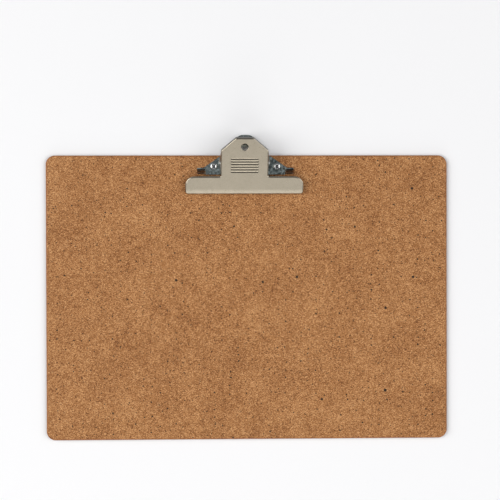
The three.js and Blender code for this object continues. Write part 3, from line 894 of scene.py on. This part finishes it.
def lever_painted_shade(n, p, c):
    """Painted shade: near-black colour in the steep side of each rib's groove and on the turned-down edge behind the
    thumb plate, standing in for their shade and dark reflections.
    """
    turn = Matrix.Rotation(-TILT, 3, "X")
    shift = turn @ Vector((-(CLIP_X + LX), -LY, -LZ))
    q = n.coords(rotation=(-TILT, 0, 0), location=tuple(shift))
    flat = n.node("ShaderNodeSeparateXYZ", {"Vector": q})
    across, along, up = flat.outputs[0], flat.outputs[1], flat.outputs[2]
    # painted shade: a near-black band along the steep side of each rib's groove
    phase = n.math("MODULO", n.math("SUBTRACT", along, 25.9 - 0.62), 3.06)
    pulse = n.math("MULTIPLY", n.span(phase, 0.0, 0.12), n.span(phase, 1.28, 1.08))
    patch = n.math("MULTIPLY", n.math("GREATER_THAN", along, 24.7), n.math("LESS_THAN", along, 43.0))
    patch = n.math("MULTIPLY", patch, n.math("LESS_THAN", n.math("ABSOLUTE", across), 16.0))
    deep = n.math("MULTIPLY", n.span(up, -0.02, -0.12), n.math("GREATER_THAN", up, -0.7))
    rib_shade = n.math("MULTIPLY", n.math("MULTIPLY", pulse, patch), deep)
    c = n.mix(n.math("MULTIPLY", rib_shade, 0.93), c, (0.045, 0.04, 0.032))
    # painted dark reflection: the turned-down edge behind the thumb plate is coloured near black
    edge = n.math("MULTIPLY", n.span(along, 64.5, 64.8), n.span(up, -0.7, -1.0))
    c = n.mix(n.math("MULTIPLY", edge, 0.92), c, (0.05, 0.048, 0.042))
    # the same painted dark reflection, thinner, on the two slanted edges beside it
    length = math.hypot(26.1 - 9.6, 65.45 - 50.8)
    nx, ny = (65.45 - 50.8) / length, (26.1 - 9.6) / length
    reach = n.math("ADD", n.math("MULTIPLY", n.math("ABSOLUTE", across), nx), n.math("MULTIPLY", along, ny))
    reach = n.math("SUBTRACT", reach, 26.1 * nx + 50.8 * ny)
    slant = n.math("MULTIPLY", n.span(reach, -0.75, -0.5), n.span(up, -0.7, -1.0))
    slant = n.math("MULTIPLY", slant, n.span(along, 50.0, 51.5))
    c = n.mix(n.math("MULTIPLY", slant, 0.8), c, (0.06, 0.057, 0.05))
    # and painted shadow on the jaw's front edge, where the lip turns down
    front = n.math("MULTIPLY", n.span(along, 0.8, 0.5), n.span(up, -1.15, -1.3))
    return n.mix(n.math("MULTIPLY", front, 0.8), c, (0.05, 0.046, 0.04))


def base_plating_and_painted_light(n, p, c):
    """Blotchy plating some mm across, with painted shade growing towards the right wing and painted light in the
    streaks on the left, and a brown-black painted reflection on the paper stops' ends.
    """
    blotch = n.span(n.noise(p, 0.3, 4.0, 0.75), 0.45, 0.57)
    split = n.node("ShaderNodeSeparateXYZ", {"Vector": p})
    # painted shade: the dark blotches grow denser towards +x, where the lever's shadow falls on the right wing
    shade_gradient = n.span(split.outputs[0], -45.0, 25.0, 0.55, 1.0)
    c = n.mix(n.math("MULTIPLY", blotch, shade_gradient), c, (0.095, 0.11, 0.102))
    streak = n.span(n.noise(p, 0.5, 3.0, 0.7, 0.6), 0.57, 0.63)
    # painted light: the light streaks are strongest on the lit left wing and fade towards the right
    streak = n.math("MULTIPLY", streak, n.span(split.outputs[0], -45.0, 25.0, 0.9, 0.4))
    c = n.mix(streak, c, (0.86, 0.93, 0.92))
    # painted reflection: the curled paper stops' ends are coloured brown-black, standing in for their reflection of
    # the brown board and dark surroundings
    out = n.math("ABSOLUTE", n.math("SUBTRACT", split.outputs[0], CLIP_X))
    stop = n.math("MULTIPLY", n.span(out, 44.6, 45.2), n.span(split.outputs[1], 142.8, 142.3))
    painted_stop_reflection = n.mix(n.span(n.noise(p, 0.35, 2.0), 0.42, 0.58), (0.03, 0.028, 0.026), (0.2, 0.12, 0.07))
    return n.mix(n.math("MULTIPLY", stop, 0.88), c, painted_stop_reflection)


def plain_floor():
    n = Nodes("floor_white")
    p = n.coords(scale=(1, 1, 1))
    c = n.mix(n.noise(p, 3.0, 2.0), (0.93, 0.928, 0.94), (0.945, 0.944, 0.955))
    n.link(c, n.b.inputs["Base Color"])
    n.b.inputs["Roughness"].default_value = 0.9
    n.b.inputs["Specular IOR Level"].default_value = 0.1
    return n.m


# ---------------------------------------------------------------- pieces
M_BOARD = hardboard()
M_LEVER = metal("nickel_satin", (0.375, 0.333, 0.262), (0.41, 0.362, 0.287), 0.3, 0.4, 0.03, 0.35, 0.0000025, brushed=(140, 2600, 2600), marks_and_painted_light=lever_painted_shade)
M_BASE = metal("zinc_plated", (0.30, 0.34, 0.325), (0.66, 0.70, 0.65), 0.2, 0.3, 0.05, 0.55, 0.00005, tarnish=((0.16, 0.18, 0.17), 0.85), marks_and_painted_light=base_plating_and_painted_light)
M_BRIGHT = metal("nickel_bright", (0.74, 0.74, 0.73), (0.8, 0.8, 0.8), 0.13, 0.4, 0.03, 0.6, 0.000008)
M_SPRING = metal("spring_wire", (0.30, 0.30, 0.31), (0.40, 0.40, 0.40), 0.3, 0.25, 0.05, 0.8, 0.000006, tarnish=((0.2, 0.17, 0.14), 0.5))


def finish_piece(ob, material, body, node, flat=True):
    ob.data.materials.clear()
    ob.data.materials.append(material)
    if flat:
        weighted(ob)
    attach(ob, body)
    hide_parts(node)
    return ob


finish_piece(make_panel(), M_BOARD, "board", "hardboard_panel")
finish_piece(make_base(), M_BASE, "board", "clip_base_plate")
finish_piece(make_lever(), M_LEVER, "lever", "clip_lever")
finish_piece(make_pin(), M_BRIGHT, "board", "pivot_pin", flat=False)
finish_piece(make_rivet(-1), M_BRIGHT, "board", "rivet_left", flat=False)
finish_piece(make_rivet(1), M_BRIGHT, "board", "rivet_right", flat=False)

spring = make_spring()
spring.data.materials.append(M_SPRING)
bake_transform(spring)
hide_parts("torsion_spring")

# ---------------------------------------------------------------- floor, lights and camera
bpy.ops.mesh.primitive_plane_add(size=14, location=(0, 0, -0.0006))
floor = bpy.context.object
floor.name = "floor"
floor.data.materials.append(plain_floor())

world = bpy.data.worlds.new("studio")
bpy.context.scene.world = world
world.use_nodes = True
world.node_tree.nodes["Background"].inputs["Color"].default_value = (0.93, 0.95, 1.0, 1)
world.node_tree.nodes["Background"].inputs["Strength"].default_value = 0.15


def softbox(name, location, target, size, power, colour=(1, 1, 1)):
    light = bpy.data.lights.new(name, "AREA")
    light.shape = "RECTANGLE"
    light.size, light.size_y = size
    light.energy = power
    light.color = colour
    ob = bpy.data.objects.new(name, light)
    bpy.context.scene.collection.objects.link(ob)
    ob.location = location
    ob.rotation_euler = (Vector(target) - Vector(location)).to_track_quat("-Z", "Y").to_euler()
    return ob


CENTRE = (0, 0.05, 0)


def glow(radiance, size):
    """Power that gives an area light this radiance."""
    return radiance * math.pi * size[0] * size[1]


for name, location, size, radiance, colour in (
    ("left", (-3.4, 0.45, 2.7), (3.8, 3.6), 3.88, (1, 0.995, 0.985)),
    ("right", (3.4, 0.2, 2.7), (3.8, 3.6), 2.48, (1, 0.995, 0.985)),
    ("front", (0.0, -2.0, 1.8), (2.0, 1.8), 1.13, (1.0, 0.99, 0.965)),
    ("front_low", (0.0, -2.6, 0.62), (2.2, 0.7), 2.7, (1.0, 0.99, 0.965)),
    ("top", (0.0, 0.1, 2.7), (1.8, 1.2), 0.16, (0.85, 0.95, 1.0)),
):
    softbox(name, location, CENTRE, size, glow(radiance, size), colour)

cam = bpy.data.cameras.new("camera")
cam.sensor_width = 36
cam.lens = 116.716
cam.clip_end = 50
camera = bpy.data.objects.new("camera", cam)
bpy.context.scene.collection.objects.link(camera)
turn = Vector((-0.01478, -0.03762, -0.00263))
camera.matrix_world = Matrix.Translation((-0.0646, 0.0793, 1.8)) @ Matrix.Rotation(turn.length, 4, turn.normalized())
bpy.context.scene.camera = camera
bpy.context.scene.view_settings.view_transform = "Standard"
